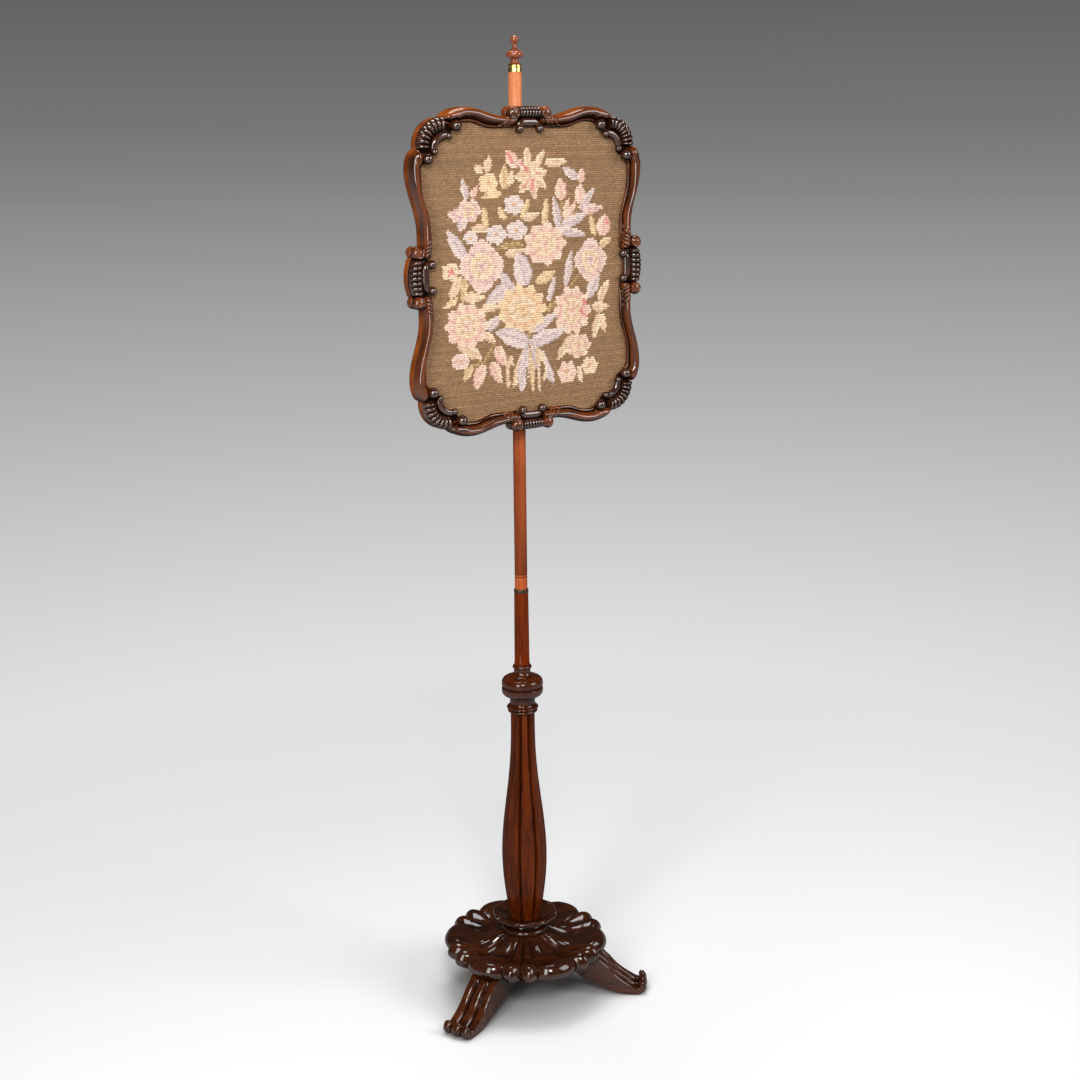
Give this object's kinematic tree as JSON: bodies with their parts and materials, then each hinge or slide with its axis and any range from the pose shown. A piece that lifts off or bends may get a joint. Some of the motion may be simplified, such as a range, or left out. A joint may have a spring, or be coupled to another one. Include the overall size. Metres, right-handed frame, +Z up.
{
  "type": "pole screen",
  "caption": "Pole screen with a floral needlework panel in a carved scrolled frame, which slides and turns on a turned pole above a faceted column, a lobed dish and reeded legs.",
  "frame": {"origin": "on the floor, on the pole's axis", "axes": "+Z up along the pole, -Y the way the screen faces at rest, +X to the right of someone facing the screen"},
  "size_m": [0.3732, 0.321, 1.4182],
  "materials": {
    "carved_wood": "french polish",
    "base_wood": "french polish",
    "pole_wood": "french polish",
    "board_wood": "bare softwood",
    "back_wood": "oiled",
    "brass": "lacquered",
    "dark_metal": "darkened",
    "wool": "tent stitch wool"
  },
  "bodies": {
    "stand": {"base_dish": "base_wood", "leg_right": "base_wood", "leg_back": "base_wood", "leg_left": "base_wood", "leg_screws": "dark_metal", "base_ring": "base_wood", "lotus_collar": "base_wood", "column": "base_wood", "column_knop": "base_wood", "lower_stem": "base_wood", "stem_ferrule": "dark_metal", "pole": "pole_wood", "pole_ferrule": "brass"},
    "finial": {"finial": "base_wood"},
    "collar": {"height_collar": "brass"},
    "screen": {"top_rail": "carved_wood", "bottom_rail": "carved_wood", "left_stile": "carved_wood", "right_stile": "carved_wood", "corner_top_left": "carved_wood", "corner_top_right": "carved_wood", "corner_bottom_left": "carved_wood", "corner_bottom_right": "carved_wood", "top_crest": "carved_wood", "bottom_crest": "carved_wood", "left_crest": "carved_wood", "right_crest": "carved_wood", "needlework": "wool", "canvas_board": "board_wood", "back_panel": "back_wood", "panel_brads": "dark_metal", "upper_bracket": "brass", "lower_bracket": "brass", "bracket_screws": "brass"},
    "thumb_screw": {"thumb_screw": "brass"}
  },
  "joints": [
    {"name": "screen_height", "type": "slide", "parent": "stand", "child": "collar", "axis": [0, 0, 1], "range_m": [-0.235, 0.05]},
    {"name": "screen_swivel", "type": "hinge", "parent": "collar", "child": "screen", "pos_m": [0, 0, 1.104], "axis": [0, 0, 1], "continuous": true},
    {"name": "thumb_screw_turn", "type": "hinge", "parent": "screen", "child": "thumb_screw", "pos_m": [0, 0, 0.897], "axis": [0, 1, 0], "range_deg": [0, 540]},
    {"name": "finial_lift", "type": "slide", "parent": "stand", "child": "finial", "axis": [0, 0, 1], "range_m": [0, 0.024]}
  ]
}
